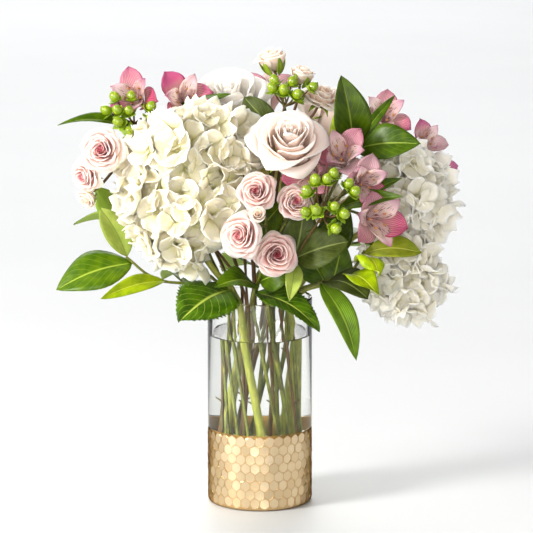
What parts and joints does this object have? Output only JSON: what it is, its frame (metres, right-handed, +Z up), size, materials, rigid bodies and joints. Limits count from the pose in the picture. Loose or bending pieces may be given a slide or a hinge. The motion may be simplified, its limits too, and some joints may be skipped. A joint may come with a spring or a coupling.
{
  "type": "floral table centerpiece",
  "caption": "Mixed bouquet of hydrangeas, roses, alstroemeria, berries and leaves standing in water in a clear glass cylinder vase with a hammered gold foot.",
  "frame": {"origin": "middle of the flat underside of the vase, on the surface it stands on", "axes": "+Z up along the vase, -Y to the front of the bouquet, +X to its right"},
  "size_m": [0.3894, 0.2718, 0.443],
  "materials": {
    "clear_glass": "clear, smooth and polished",
    "hammered_gold": "hammered and polished gold",
    "water": "clear, still water",
    "stem_green": "smooth green stems and leaves",
    "leaf_green": "glossy dark leaves on woody stems",
    "berry_green": "glossy lime berries and dark leaves",
    "hydrangea_cream": "soft cream florets",
    "hydrangea_white": "soft white florets",
    "rose_blush": "silky blush petals",
    "spray_rose_pink": "soft pink petals",
    "alstroemeria_pink": "satin pink tepals"
  },
  "bodies": {
    "root": {"vase_glass": "clear_glass", "vase_gold_base": "hammered_gold", "water": "water", "hydrangea_left_stem": "stem_green", "hydrangea_right_upper_stem": "stem_green", "hydrangea_right_lower_stem": "stem_green", "hydrangea_back_stem": "stem_green", "rose_front_stem": "stem_green", "rose_top_stem": "stem_green", "rose_back_stem": "stem_green", "spray_rose_front_stem": "stem_green", "spray_rose_left_stem": "stem_green", "spray_rose_top_stem": "stem_green", "spray_rose_back_stem": "stem_green", "alstroemeria_left_stem": "stem_green", "alstroemeria_centre_stem": "stem_green", "alstroemeria_right_stem": "stem_green", "alstroemeria_back_stem": "stem_green", "hypericum_left": "berry_green", "hypericum_top": "berry_green", "hypericum_centre": "berry_green", "hypericum_back": "berry_green", "greenery_left": "leaf_green", "greenery_right": "leaf_green", "greenery_top": "leaf_green", "greenery_back_left": "leaf_green", "greenery_back_right": "leaf_green", "rose_front": "rose_blush", "rose_top": "rose_blush", "rose_back": "rose_blush", "spray_rose_front_1": "spray_rose_pink", "spray_rose_front_2": "spray_rose_pink", "spray_rose_front_3": "spray_rose_pink", "spray_rose_front_4": "spray_rose_pink", "spray_rose_left_1": "spray_rose_pink", "spray_rose_left_2": "spray_rose_pink", "spray_rose_top": "spray_rose_pink", "spray_rose_back_1": "spray_rose_pink", "spray_rose_back_2": "spray_rose_pink", "alstroemeria_left_1": "alstroemeria_pink", "alstroemeria_left_2": "alstroemeria_pink", "alstroemeria_centre_1": "alstroemeria_pink", "alstroemeria_centre_2": "alstroemeria_pink", "alstroemeria_centre_3": "alstroemeria_pink", "alstroemeria_centre_4": "alstroemeria_pink", "alstroemeria_right_1": "alstroemeria_pink", "alstroemeria_right_2": "alstroemeria_pink", "alstroemeria_right_3": "alstroemeria_pink", "alstroemeria_back": "alstroemeria_pink", "hydrangea_left": "hydrangea_cream", "hydrangea_right_upper": "hydrangea_white", "hydrangea_right_lower": "hydrangea_white", "hydrangea_back": "hydrangea_cream"}
  },
  "joints": []
}
